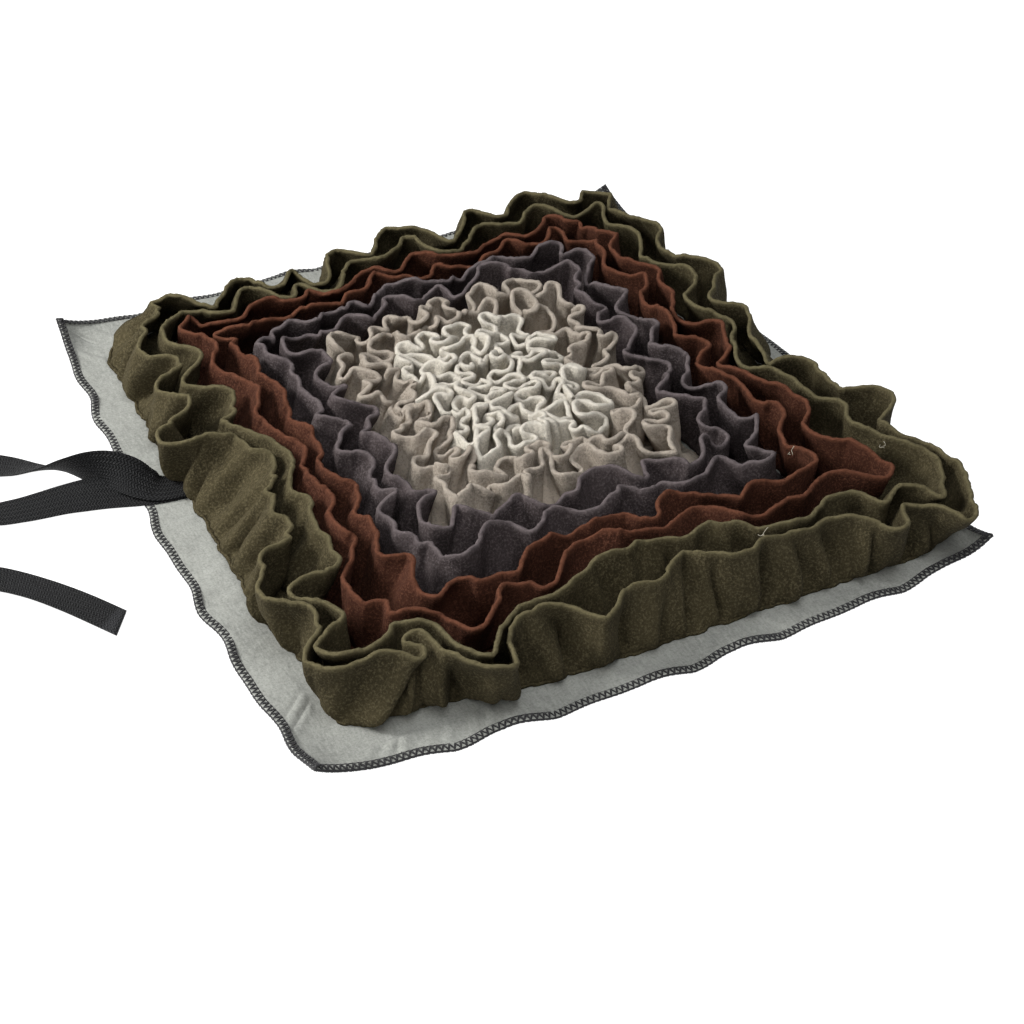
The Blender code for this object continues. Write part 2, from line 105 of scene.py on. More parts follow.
SECOND_FOLDS = (
    (-182, 174, -160, 174), (-182, 150, -174, 150), (-182, 118, -160, 118),
    (-182, 98, -178, 97), (-182, 66, -156, 66), (-182, 46, -166, 44), (-182, 30, -176, 36),
    (-182, 14, -158, 22), (-182, -8, -146, -6), (-182, -44, -154, -42), (-182, -66, -150, -66),
    (-182, -84, -160, -84), (-182, -112, -155, -112), (-182, -126, -163, -128),
    (-182, -136, -182, -133), (-182, -146, -200, -145), (-182, -158, -182, -159),
    (-182, -170, -172, -172), (-182, -180, -186, -181), (-182, -188, -200, -189),
    (-178, -198, -184, -202), (-166, -209, -164, -203), (-154, -212, -150, -190),
    (-140, -212, -138, -196), (-128, -212, -126, -216), (-113, -212, -112, -239),
    (-94, -212, -96, -220), (-76, -212, -76, -206), (-50, -212, -50, -204),
    (-20, -212, -18, -194), (8, -212, 10, -187), (32, -212, 33, -197), (54, -212, 54, -191),
    (76, -212, 76, -202), (98, -212, 97, -210), (122, -212, 128, -206), (142, -212, 144, -204),
    (156, -212, 160, -221), (170, -210, 176, -210), (182, -205, 188, -216),
    (188, -199, 198, -236), (191, -186, 210, -218), (192, -172, 213, -190),
    (192, -156, 201, -167), (192, -138, 186, -141), (192, -118, 200, -118),
    (192, -96, 186, -96), (192, -70, 176, -70), (192, -52, 164, -52), (192, -30, 170, -32),
    (192, -8, 184, -6), (192, 14, 174, 12), (192, 30, 171, 28), (192, 62, 194, 64),
    (192, 84, 186, 84), (192, 100, 172, 102), (192, 128, 184, 130), (192, 156, 174, 156),
    (188, 190, 178, 182), (168, 206, 160, 178), (150, 206, 148, 188), (137, 206, 134, 203),
    (114, 206, 116, 182), (92, 206, 88, 194), (70, 206, 68, 174), (48, 206, 46, 168),
    (26, 206, 26, 200), (4, 206, 4, 180), (-20, 206, -20, 186), (-46, 206, -46, 155),
    (-64, 206, -64, 180), (-80, 206, -78, 160), (-98, 206, -98, 186), (-120, 206, -120, 160),
    (-146, 206, -142, 178), (-172, 196, -154, 180),
)
# One line for each row, outer row first. Its first waves: gather (rim over seam), their length
# and depth, all 0 where the folds are listed above. Then, for the looks: how much more cloth it
# holds than its main folds need, how far its rim leans inward, how much the rim rises and
# sinks, how far it curls over, how wide the margin outside its seam is, over what length its
# folds are rounded, and how widely its lower cloth swings in and out.
Row = collections.namedtuple("Row", "name gather wave depth more lean uneven curl margin round swing")
ROWS = [Row(*line) for line in (
    ("olive_1", 0, 0, 0, 1.00, 0.0, 1.4, 0.8, 2.4, 3.6, 1.0),
    ("olive_2", 0, 0, 0, 1.00, 0.0, 1.5, 0.8, 16.5, 3.6, 1.0),
    ("brown_1", 1.50, 60, 6.0, 1.00, 3.0, 2.2, 1.2, 16.5, 7.5, 0.4),
    ("brown_2", 1.65, 52, 6.5, 1.00, 7.0, 2.6, 1.4, 16.5, 7.5, 0.4),
    ("plum_1", 1.80, 49, 6.5, 1.02, 12.0, 3.0, 1.5, 16.5, 6.5, 0.6),
    ("plum_2", 1.90, 45, 6.5, 1.06, 16.0, 3.2, 1.6, 16.5, 6.0, 0.8),
    ("taupe_1", 2.05, 42, 6.5, 1.36, 21.0, 4.2, 2.4, 16.0, 4.2, 1.5),
    ("taupe_2", 2.20, 38, 6.5, 1.40, 19.0, 4.4, 2.4, 16.0, 3.8, 1.5),
    ("cream_1", 2.60, 32, 6.0, 1.42, 15.0, 3.6, 2.2, 15.0, 3.2, 1.5),
    ("cream_2", 2.90, 28, 6.0, 1.50, 10.0, 3.2, 2.0, 15.0, 3.0, 1.3),
    ("cream_3", 3.00, 25, 5.0, 1.42, 5.0, 2.8, 1.8, 15.0, 3.0, 1.0),
)]
PALE_FROM = 6                     # the first of the pale rows
# Settling of the rims, first the main folds and then all the cloth: how stiff they are, how
# far one moves in a round, by what share of the rounds they have grown, how far beyond
# touching their neighbours are looked for, and how many rounds such a list is kept.
FOLDING = (0.045, 0.6, 0.75, 7, 5)
PACKING = (0.07, 0.5, 0.7, 4, 6)
# Further folds of the outer brown row that the olive rows are nested on.
BROWN_FOLDS = (
    (-162, -118, -143, -116), (-162, -143, -178, -147), (-162, -162, -161, -166),
    (-140, -192, -136, -178), (-116, -192, -112, -216), (118, -192, 121, -200),
    (146, -192, 148, -181),
)
# Webbing tails, a line for each section: middle x, y, z and roll in degrees (0 = flat).
TAIL_LOWER = (
    (-200, 36.5, 2.55, 0), (-217, 38.5, 2.55, 0), (-229, 42, 2.8, 4), (-239, 46, 4.2, 14),
    (-251, 50, 5.3, 21), (-264, 53.5, 4.9, 19), (-277, 57, 3.4, 12), (-302, 61, 1.3, 3),
    (-323, 65, 1.4, -6),
    (-342, 68, 7.0, -40), (-360, 66, 12.6, -82), (-378, 56, 12.9, -90), (-387, 40, 12.9, -90),
    (-384, 24, 12.8, -80), (-372, 16, 7.8, -42), (-354, 11, 1.6, -5), (-335, -1, 2.4, 7),
    (-316, -21, 3.2, 12), (-298, -45, 3.2, 12), (-279, -75, 3.2, 12),
)
TAIL_UPPER = (
    (-200, 36.5, 4.1, 0), (-217, 39, 4.8, 3), (-226, 44, 8.4, 16), (-235, 51, 13.4, 40),
    (-245, 59, 15.8, 66), (-257, 67, 15.8, 93), (-268, 74, 14.6, 120), (-279, 83, 11.2, 146),
    (-291, 96, 6.2, 165), (-303, 111, 2.2, 177), (-320, 126, 0.9, 180), (-342, 140, 1.8, 184),
    (-366, 147, 8.5, 225), (-392, 146, 12.7, 264), (-415, 132, 12.9, 270),
    (-428, 108, 12.9, 270), (-431, 78, 12.9, 270), (-428, 48, 12.9, 270),
    (-420, 20, 12.6, 262), (-408, 0, 7.6, 222), (-392, -12, 1.6, 188), (-370, -23, 0.65, 180),
    (-346, -37, 0.65, 180),
)
# Waves of each edge of the backing, from the left one on: count, size, shift.
EDGE_WAVES = (
    ((7, 1.6, 0.2), (11, 1.0, 0.7)), ((6, 1.7, 0.5), (9, 1.2, 0.1)),
    ((5, 1.4, 0.3), (8, 0.9, 0.6)), ((6, 1.5, 0.9), (10, 0.8, 0.3)),
)

# -------- sizes of the looks
# Hollows in the outer row's face, one line each: where it meets the seam (foot_x, foot_y),
# its depth (a swelling where that is below 0) and half width, and how far it slants along
# the seam on its way up.
FACE_HOLLOWS = (
    (-201, 166, 10.0, 6.0, 8), (-201, 140, 13.0, 6.5, 10), (-201, 112, 9.0, 5.5, -6),
    (-201, 84, 14.0, 6.5, 10), (-201, 62, 9.0, 5.0, 12), (-201, 40, 13.0, 6.0, 14),
    (-201, 17, 11.0, 5.5, 13), (-201, -2, 12.0, 6.0, 12), (-201, -24, 9.0, 5.0, 14),
    (-201, -46, 14.0, 6.0, 15), (-201, -68, 9.0, 5.0, 9), (-201, -92, 13.0, 6.5, 6),
    (-201, -119, 12.0, 7.0, 0), (-201, -150, 8.0, 6.0, -4), (-201, -174, 10.0, 6.0, 4),
    (-195, -212, 6.0, 6.0, 0), (-178, -231, 9.0, 5.5, 3), (-154, -231, -8.0, 9.0, 0),
    (-134, -231, 15.0, 5.5, 5), (-114, -231, -8.0, 8.0, 2), (-92, -231, 13.0, 6.0, 0),
    (-63, -231, 16.0, 6.5, -4), (-27, -231, 9.0, 6.5, 3), (-2, -231, 6.0, 5.0, 4),
    (18, -231, 17.0, 5.5, 4), (40, -231, 11.0, 4.5, 2), (66, -231, 18.0, 6.0, 4),
    (95, -231, 8.0, 6.0, 0), (118, -231, 13.0, 4.5, -2), (141, -231, 12.0, 5.5, 4),
    (166, -231, 13.0, 6.0, 4), (189, -231, 9.0, 5.5, 0),
)
RIM_THICK = 2.9                   # the cut edge of the fleece is fluffed up
PALE_RIM = 3.4                    # and more so in the pale rows
CLOTH_THICK = 2.1
COLUMN_STEP = 2.2                 # spacing of the columns along a rim
CLOSE = 3.3                       # how near the middles of two rims come
LEVELS = np.array((0.0, 0.05, 0.11, 0.18, 0.27, 0.37, 0.48, 0.60, 0.72, 0.83, 0.91, 0.97))
STRIP_TALL = 50.0                 # flat height of the strips
LEAN_EASE = 30.0                  # what leans over, apart from what folds
OVERLOCK_WIDE = 4.5
OVERLOCK_PITCH = 3.7
NEEDLE_R = 0.30
LOOPER_R = 0.62
EDGE_R = 0.80
PUCKER_STEP = 14.0
FIBRES = 1.1                      # stray fibres to each millimetre of rim
FIBRE_R = 0.10
LOOSE_R = 0.16
MARGIN_Z = 0.95                   # the margin's height over the seam
FIBRE_ROOT = 0.15                 # how deep a fibre is rooted
BACKING_COLUMNS = 1900
BORDER_DEPTHS = (0.0, 0.05, 0.12, 0.22, 0.33, 0.45, 0.57, 0.69, 0.8, 0.9, 1.0, 1.25, 1.6)
PUCKER_TALL = 1.3
PUCKER_WIDE = (2.5, 2.2)          # the least width, and how much more it may be
# Two ways of drawing an even share of luck from a number.
SHUFFLES = ((12.9898, 43758.5453), (78.233, 12543.123))
TAIL_ACROSS = (-1, -0.96, -0.88, -0.72, -0.5, -0.25, 0, 0.25, 0.5, 0.72, 0.88, 0.96, 1.0)
# Uneven waves along the cloth, each a wave length and a size.
ROUGH = ((29.0, 0.8), (18.0, 0.4))
RAGGED = ((41.0, 0.35), (17.0, 0.3), (9.3, 0.2), (5.9, 0.12))
SLUMPS = ((110.0, 0.7), (57.0, 0.6), (31.0, 0.4))
FOLDS = ((31.0, 2.3), (21.0, 1.4))
PATCHES = ((47.0, 0.6), (29.0, 0.4))
PLEATS = ((10.5, 0.85), (7.7, 0.3))
HIDDEN_HOLLOWS = ((46.0, 4.0), (29.0, 2.2))
MARGIN_WAVES = ((37.0, 0.5), (16.0, 0.3), (7.0, 0.15))
CURLS = ((90.0, 0.6), (38.0, 0.5))
FLUFF = ((6.3, 0.10), (4.4, 0.08))
NEAR_LEFT = (-160, -215)          # the corner that bulges
# The cloth's wandering: size, wave length and direction.
DRIFTS = ((2.1, 61.0, 0.4), (1.2, 29.0, 1.9), (0.45, 13.0, 3.1), (0.2, 7.1, 5.2))
# The looper's path in one stitch: share of the pitch, depth from the edge, height.
LOOPER_PATH = ((0.0, -0.35, 0.2), (0.06, 0.5, 1.0), (0.22, 2.3, 1.35), (0.36, 4.0, 1.2),
               (0.42, 4.4, 1.15), (0.50, 3.9, 1.2), (0.74, 2.0, 1.3), (0.96, 0.3, 1.0))
# Where pulled ends of fleece lie on the rims: x, y, z and size.
LOOSE_ENDS = ((75, -219, 47.0, 5.0), (133, -159, 48.0, 4.5), (189, -178, 47.5, 4.0))


# -------- lines and ways
def unit(ways):
    return ways / np.maximum(np.linalg.norm(ways, axis=-1), 1e-9)[..., None]


def picked(at, run, line):
    """Points of a line at distances along it."""
    return np.stack([np.interp(at, run, line[:, axis]) for axis in range(line.shape[1])], axis=-1)


def doubled(points):
    """Twice as many points round a closed loop, on a smooth line through them."""
    a, b = np.roll(points, 1, axis=0), points
    c, d = np.roll(points, -1, axis=0), np.roll(points, -2, axis=0)
    middle = (9 * (b + c) - a - d) / 16
    return np.stack([b, middle], axis=1).reshape((-1,) + points.shape[1:])


def eased(values, step, reach):
    """Values round a closed loop, step apart, averaged softly over reach."""
    waves = np.fft.rfftfreq(len(values), step)
    soft = np.exp(-2 * (math.pi * reach * waves) ** 2)
    return np.fft.irfft(np.fft.rfft(values, axis=0) * soft[:, None], len(values), axis=0)


def run_of(points):
    """Distance along a closed loop at each of its points, and its whole length."""
    step = np.linalg.norm(np.roll(points, -1, axis=0) - points, axis=1)
    return np.concatenate([[0], np.cumsum(step)[:-1]]), step.sum()


def wander(run, length, waves, seed):
    """Uneven ups and downs round a loop: lines of wave length and size."""
    turn = 2 * math.pi * run / length
    total = np.zeros(len(run))
    for number, (wave, size) in enumerate(waves):
        count = max(1, round(length / wave))
        slow = 0.8 * np.sin(max(1, count // 3) * turn + 1.9 * seed + number)
        total += size * np.sin(count * turn + slow + 2.3 * seed + 1.7 * number)
    return total


def eased_step(share):
    share = np.clip(share, 0, 1)
    return share * share * (3 - 2 * share)


def outward(loop):
    """The level way out from a closed loop at each of its points."""
    way = unit((np.roll(loop, -1, axis=0) - np.roll(loop, 1, axis=0))[:, :2])
    return np.stack([way[:, 1], -way[:, 0]], axis=1)


def moved(rims, move, most):
    """Rims after their move, none of it longer than most."""
    far = np.linalg.norm(move, axis=1)
    return rims + move * np.minimum(1, most / np.maximum(far, 1e-6))[:, None]


def joined(parts):
    """Rows laid end to end: feet, rims, row numbers, the points before and after, and each
    point's length of rim and hold. A part is a row's feet, rims, length of rim and hold."""
    feet, rims, steps, holds = zip(*parts)
    counts = [len(foot) for foot in feet]
    spans = list(zip(np.cumsum([0] + counts[:-1]), counts))
    before, after = [np.concatenate([start + (np.arange(count) + way) % count for start, count in spans])
                     for way in (-1, 1)]
    rows, step, hold = [np.repeat(each, counts) for each in (range(len(parts)), steps, holds)]
    return np.concatenate(feet), np.concatenate(rims), rows, before, after, step, hold[:, None]


# -------- where the seams run
def seam_size(row):
    half_x = FOOT_HALF[0] - ROW_STEP * row
    half_y = FOOT_HALF[1] - ROW_STEP * row
    return half_x, half_y, min(SEAM_ROUND, 0.85 * half_x)


def seam_length(row):
    half_x, half_y, corner = seam_size(row)
    return 4 * (half_x + half_y) - (8 - 2 * math.pi) * corner


def seam(row, along):
    """Points of a row's seam, and the way out from it, at distances along it."""
    half_x, half_y, corner = seam_size(row)
    flats = (half_y - corner, half_x - corner)
    deeps = (half_x, half_y)
    turn = math.pi / 2 * corner
    along = np.mod(along, seam_length(row))
    points, out = np.zeros((len(along), 2)), np.zeros((len(along), 2))
    begin = 0.0
    for side in range(4):
        spin = math.pi + side * math.pi / 2
        way = np.array([math.cos(spin), math.sin(spin)])
        run = np.array([-math.sin(spin), math.cos(spin)])
        flat, deep = flats[side % 2], deeps[side % 2]
        here = (along >= begin) & (along < begin + 2 * flat)
        points[here] = way * deep + run * ((along[here] - begin)[:, None] - flat)
        out[here] = way
        begin += 2 * flat
        here = (along >= begin) & (along < begin + turn)
        angle = spin + (along[here] - begin) / corner
        ray = np.stack([np.cos(angle), np.sin(angle)], axis=1)
        points[here] = way * (deep - corner) + run * flat + corner * ray
        out[here] = ray
        begin += turn
    return points + FOOT_MID, out


def nearest_along(row, spots):
    along = np.arange(0, seam_length(row), 0.5)
    points, _ = seam(row, along)
    gap = ((spots[:, None] - points[None]) ** 2).sum(axis=2)
    return along[gap.argmin(axis=1)]


# -------- how the rims fold
def listed_row(row, folds):
    """Feet and rims of a row that runs smoothly through its listed crests and hollows."""
    table = np.array(folds, float)
    along = nearest_along(row, table[:, :2])
    order = np.argsort(along)
    rims, along = table[order, 2:], along[order]
    total = seam_length(row)
    knots = np.concatenate([rims[-2:], rims, rims[:3]])
    stations = np.concatenate([along[-2:] - total, along, along[:3] + total])
    share = np.linspace(0, 1, 16, endpoint=False)[:, None]
    line, foot_at = [], []
    for k in range(2, len(rims) + 2):
        a, b, c, d = knots[k - 1], knots[k], knots[k + 1], knots[k + 2]
        spans = [math.sqrt(max(1.0, math.dist(p, q))) for p, q in ((a, b), (b, c), (c, d))]
        start = (b - a) / spans[0] - (c - a) / (spans[0] + spans[1]) + (c - b) / spans[1]
        end = (c - b) / spans[1] - (d - b) / (spans[1] + spans[2]) + (d - c) / spans[2]
        start, end = start * spans[1], end * spans[1]
        line.append((2 * share**3 - 3 * share**2 + 1) * b + (share**3 - 2 * share**2 + share) * start
                    + (3 * share**2 - 2 * share**3) * c + (share**3 - share**2) * end)
        foot_at.append(stations[k] + (stations[k + 1] - stations[k]) * share[:, 0])
    line, foot_at = np.concatenate(line), np.concatenate(foot_at)
    closed = np.concatenate([line, line[:1]])
    run = np.concatenate([[0], np.cumsum(np.linalg.norm(np.diff(closed, axis=0), axis=1))])
    count = int(round(run[-1] / STITCH))
    want = np.arange(count) * run[-1] / count
    foot_at = np.concatenate([foot_at, [foot_at[0] + total]])
    return seam(row, np.interp(want, run, foot_at))[0], picked(want, run, closed)


def nested(points, steps=12):
    """Where points come to lie when the outer rows fold over: nothing crosses on the way."""
    table = np.array(OUTER_FOLDS + SECOND_FOLDS, float)
    feet, travel = table[:, :2], table[:, 2:] - table[:, :2]
    for number in range(steps):
        spots = feet + travel * (number + 0.5) / steps
        apart = ((spots[:, None] - spots[None]) ** 2).sum(axis=2)
        share = np.exp(-apart / (2 * NEST_REACH**2)) + 0.04 * np.eye(len(spots))
        weights = np.linalg.solve(share, travel)
        half = points
        for part in (0.5, 1.0):
            spread = ((half[:, None] - spots[None]) ** 2).sum(axis=2)
            half = points + np.exp(-spread / (2 * NEST_REACH**2)) @ weights * part / steps
        points = half
    return points


def waved_row(row):
    """Feet and first rims of a row that starts with uneven waves."""
    gather, wave, depth = ROWS[row][1:4]
    total = seam_length(row)
    count = int(round(gather * total / STITCH))
    along = np.arange(count) * total / count
    feet, out = seam(row, along)
    turn = 2 * math.pi * along / total
    waves = max(3, round(total / wave))
    uneven = 1.2 * np.sin(2 * turn + 1.3 * row) + 0.9 * np.sin(5 * turn + 2.1 * row)
    swing = np.sin(waves * turn + 1.9 * row + uneven)
    swing += 0.45 * np.sin((waves // 2 + 1) * turn + 0.6 * row + uneven)
    size = depth * (1 + 0.35 * np.sin(3 * turn + row))
    return feet, nested(feet + out * (swing * size * 0.7)[:, None])


def close_pairs(points, rows, reach):
    """Pairs of points that are near each other but not beside each other on a row."""
    firsts, seconds = [], []
    for row in range(len(ROWS)):
        mine = np.nonzero(rows == row)[0]
        for other in (row, row + 1, row + 2):
            theirs = np.nonzero(rows == other)[0]
            if not len(theirs):
                continue
            gap = ((points[mine][:, None] - points[theirs][None]) ** 2).sum(axis=2)
            a, b = np.nonzero(gap < reach**2)
            if other == row:
                step = (b - a) % len(mine)
                keep = (b > a) & (step > 3) & (step < len(mine) - 3)
                a, b = a[keep], b[keep]
            firsts.append(mine[a])
            seconds.append(theirs[b])
    return np.concatenate(firsts), np.concatenate(seconds)


def folded_rows(rounds=300):
    """Feet and rims of every row: rims grow to their gathered length and keep clear."""
    parts = []
    for row, (_, gather, *_) in enumerate(ROWS):
        foot, rim = waved_row(row) if gather else listed_row(row, (OUTER_FOLDS, SECOND_FOLDS)[row])
        parts.append((foot, rim, gather * seam_length(row) / len(foot) if gather else 0.0,
                      0.0 if gather else 0.25))
    feet, rims, rows, before, after, rest, hold = joined(parts)
    home = rims.copy()
    brown = np.array(BROWN_FOLDS, float)
    third = np.nonzero(rows == 2)[0]
    pinned = third[((feet[third][None] - brown[:, None, :2]) ** 2).sum(axis=2).argmin(axis=1)]
    first_size = np.linalg.norm(rims[after] - rims, axis=1)
    rest = np.where(rest > 0, rest, first_size)
    stiff, most, growing, beyond, kept = FOLDING
    for number in range(rounds):
        if number % kept == 0:
            first, second = close_pairs(rims, rows, CLEAR + beyond)
        grown = min(1.0, number / (growing * rounds))
        move = pulled(rims, before, after, first_size * (1 - grown) + rest * grown, stiff)
        move += pushed(feet, rims, first, second, CLEAR)
        lean = rims - feet
        reach = np.linalg.norm(lean, axis=1)
        back = 0.06 * np.maximum(reach - LEAN_FREE, 0) / np.maximum(reach, 1)
        move -= lean * back[:, None] * (hold == 0)
        move += (home - rims) * hold
        if grown < 0.8:
            move[pinned] += (brown[:, 2:] - rims[pinned]) * 0.2
        rims = moved(rims, move, most)
    return feet, rims, rows


def pulled(rims, before, after, want, stiff):
    """How rims move to reach their length and to bend softly."""
    edge = rims[after] - rims
    size = np.linalg.norm(edge, axis=1)
    pull = edge * (0.4 * (size - want) / np.maximum(size, 0.1))[:, None]
    move = pull.copy()
    np.add.at(move, after, -pull)
    curve = rims[before] - 2 * rims + rims[after]
    return move - stiff * (curve[before] - 2 * curve + curve[after])


def pushed(feet, rims, first, second, clear):
    """How rims, and the cloth half way down, move out of each other's way."""
    move = np.zeros(rims.shape)
    for level, strength in ((1.0, 0.5), (0.6, 0.3)):
        at = feet + (rims - feet) * level
        way = at[second] - at[first]
        gap = np.linalg.norm(way, axis=1)
        limit = clear * (1.0 if level == 1.0 else 0.85)
        near = gap < limit
        shove = way[near] * (strength * (limit - gap[near]) / np.maximum(gap[near], 0.05))[:, None]
        np.add.at(move, second[near], shove)
        np.add.at(move, first[near], -shove)
    return move


def packed_rows(feet, rims, rows, rounds=150):
    """The same rows with all their cloth: finer folds, pressed together between the main ones."""
    parts = []
    for row, kind in enumerate(ROWS):
        foot, rim = doubled(feet[rows == row]), doubled(rims[rows == row])
        foot = foot + foot_inset(foot, row)
        inward = FOOT_MID - rim
        far = np.linalg.norm(inward, axis=1)[:, None]
        near_side = 0.30 + 0.70 * eased_step(0.5 - (rim @ np.array([0.6, 0.35]))[:, None] / 150)
        rim = rim + inward / far * kind.lean * near_side * np.minimum(1, far / 60)
        run, length = run_of(rim)
        count = int(round(length * kind.more / COLUMN_STEP))
        spots = np.arange(count) * length / count
        foot, rim = [picked(spots, np.append(run, length), np.concatenate([line, line[:1]]))
                     for line in (foot, rim)]
        rough = wander(spots, length, ROUGH, row + 11) * (kind.more > 1.0)
        rim = rim + np.stack([np.sin(spots / 5.3), np.cos(spots / 6.1)], axis=1) * rough[:, None] * 0.5
        parts.append((foot, rim, length * kind.more / count, 0.2 if kind.more == 1.0 else 0.01))
    feet, rims, rows, before, after, want, hold = joined(parts)
    home = rims.copy()
    first_size = np.linalg.norm(rims[after] - rims, axis=1)
    stiff, most, growing, beyond, kept = PACKING
    for number in range(rounds):
        if number % kept == 0:
            first, second = close_pairs(rims, rows, CLOSE + beyond)
        grown = min(1.0, number / (growing * rounds))
        move = pulled(rims, before, after, first_size * (1 - grown) + want * grown, stiff)
        move += pushed(feet, rims, first, second, CLOSE) + (home - rims) * hold
        rims = moved(rims, move, most)
    return feet, rims, rows


def foot_inset(feet, row):
    """The seams turn more widely at the near left corner."""
    share = (1.0, 0.6, 0.3, 0.1)[row] if row < 4 else 0.0
    left = 10 * np.exp(-((feet[:, 1] + 175) / 46) ** 2) * eased_step((-150 - feet[:, 0]) / 30)
    near = 17 * np.exp(-((feet[:, 0] + 160) / 52) ** 2) * eased_step((-165 - feet[:, 1]) / 40)
    return np.stack([left, near], axis=1) * share


def rim_height(feet, rims, row):
    lean = np.linalg.norm(rims - feet, axis=1)
    sway = 0.9 * np.sin(rims[:, 0] / 31 + row) + 0.8 * np.sin(rims[:, 1] / 27 + 2 * row)
    return RIM_Z + sway - 0.12 * np.maximum(lean - 18, 0)


def edge_point(share):
    """Outline of the backing at a share of the way round: x, y and lift off the floor."""
    side = int(share * 4) % 4
    part = share * 8 % 2 - 1
    half_x, half_y = BACKING_HALF
    bow = EDGE_BOW * (1 - part**2)
    wave = EDGE_WAVES[side]
    out = bow + sum(size * math.sin(math.pi * (count * part + shift)) * (1 - part**6)
                    for count, size, shift in wave)
    lift = CORNER_CURL * abs(part)**9
    lift += max(0, sum(0.9 * size * math.sin(math.pi * (count * part + shift + 0.5))
                       for count, size, shift in wave)) * (1 - part**4)
    if side == 0:
        return -half_x - out, -part * half_y, lift * min(1.0, ((part + WEB_AT) / 0.16) ** 2)
    if side == 1:
        return part * half_x, -half_y - out, lift
    if side == 2:
        return half_x + out, part * half_y, lift
    return -part * half_x, half_y + out, lift


def smoothed(table, parts):
    """Sections between the listed ones, so that webbing runs on smoothly through them."""
    ends = np.concatenate([2 * table[:1] - table[1:2], table, 2 * table[-1:] - table[-2:-1]])
    lines = []
    for share in np.arange(parts) / parts:
        a, b, c, d = ends[:-3], ends[1:-2], ends[2:-1], ends[3:]
        lines.append(0.5 * (2 * b + (c - a) * share + (2 * a - 5 * b + 4 * c - d) * share**2
                            + (3 * b - a - 3 * c + d) * share**3))
    return np.concatenate([np.stack(lines, axis=1).reshape(-1, table.shape[1]), table[-1:]])


# -------- materials
class Nodes:
    """Short calls for building one material's nodes."""

    def __init__(self, name, **fixed):
        self.material = bpy.data.materials.new(name)
        self.material.use_nodes = True
        self.tree = self.material.node_tree
        self.shader = self.tree.nodes["Principled BSDF"]
        for socket, value in fixed.items():
            self.shader.inputs[socket.replace("_", " ")].default_value = value

    def add(self, kind, settings=None, **sockets):
        node = self.tree.nodes.new("ShaderNode" + kind)
        for key, value in (settings or {}).items():
            setattr(node, key, value)
        for key, value in sockets.items():
            socket = node.inputs[int(key[1:]) if key[1:].isdigit() else key.replace("_", " ")]
            if isinstance(value, bpy.types.NodeSocket):
                self.tree.links.new(value, socket)
            else:
                socket.default_value = value
        return node

    def place(self, space, scale=(1, 1, 1), turn=0.0):
        coords = self.add("TexCoord")
        moved = self.add("Mapping", Vector=coords.outputs[space], Scale=scale,
                         Rotation=(0, 0, turn))
        return moved.outputs[0]

    def noise(self, at, scale, detail=3.0, rough=0.55):
        return self.add("TexNoise", Vector=at, Scale=scale, Detail=detail,
                        Roughness=rough).outputs["Fac"]

    def span(self, value, low, high, to_low=0.0, to_high=1.0):
        return self.add("MapRange", i0=value, i1=low, i2=high, i3=to_low, i4=to_high).outputs[0]

    def sums(self, kind, first, second=0.0):
        return self.add("Math", {"operation": kind}, i0=first, i1=second).outputs[0]

    def plus(self, first, second):
        return self.sums("ADD", first, second)

    def times(self, first, second):
        return self.sums("MULTIPLY", first, second)

    def rim(self):
        return self.add("Attribute", {"attribute_name": "rim"}).outputs["Fac"]

    def mix(self, share, first, second):
        first, second = [value if isinstance(value, bpy.types.NodeSocket) else (*value, 1.0)
                         for value in (first, second)]
        return self.add("Mix", {"data_type": "RGBA"}, i0=share, i6=first, i7=second).outputs[2]

    def bump(self, height, strength, distance, **under):
        return self.add("Bump", Height=height, Strength=strength, Distance=distance, **under).outputs[0]

    def finish(self, **surface):
        for socket, value in surface.items():
            self.tree.links.new(value, self.shader.inputs[socket.replace("_", " ")])
        return self.material


def fleece(name, body, light, rim, sheen, painted_fill_low=1.0):
    """Brushed fleece: a mottled pile with faint knitted ribs, a painted highlight along its cut rims,
    and in the pale rows painted fill light that makes the lower cloth paler.
    """
    made = Nodes(name, Roughness=1.0, Sheen_Weight=sheen, Sheen_Roughness=0.5,
                 Sheen_Tint=(*light, 1.0), Specular_IOR_Level=0.1)
    here = made.place("Object")
    cloudy = made.noise(here, 30.0, 4.0, 0.6)
    pile = made.noise(here, 690.0, 3.0, 0.75)
    tufts = made.noise(here, 400.0, 2.0, 0.6)
    ribs = made.noise(made.place("UV", (1.0, 0.08, 1.0)), 850.0, 2.0, 0.5)
    grain = made.plus(made.span(pile, 0.30, 0.70, -0.6, 0.6),
                      made.span(ribs, 0.3, 0.7, -0.45, 0.45))
    share = made.plus(made.span(cloudy, 0.34, 0.66, 0.2, 0.9), made.times(grain, 0.5))
    colour = made.mix(made.span(share, 0.0, 1.0), [0.54 * c for c in body], body)
    colour = made.mix(made.span(pile, 0.50, 0.62, 0.0, 0.95), colour, light)
    # Pale rows: the lower cloth is painted paler as painted fill light in their shaded channels, with
    # dark specks in the pile.
    if painted_fill_low > 1.0:
        height = made.add("SeparateXYZ", Vector=made.place("UV")).outputs[1]
        colour = made.mix(made.span(height, 0.045, 0.026), colour, [painted_fill_low * c for c in body])
        colour = made.mix(made.span(pile, 0.34, 0.50, 0.42, 0.0), colour, [0.45 * c for c in body])
    # Painted highlight along the cut rim, broken up by the tufts.
    rim_highlight = made.times(made.rim(), made.span(tufts, 0.30, 0.60, 0.5, 1.0))
    colour = made.mix(rim_highlight, colour, rim)
    low = made.bump(made.plus(tufts, made.times(ribs, 0.5)), 0.5, 0.0009)
    return made.finish(Base_Color=colour, Normal=made.bump(pile, 1.0, 0.0010, Normal=low))


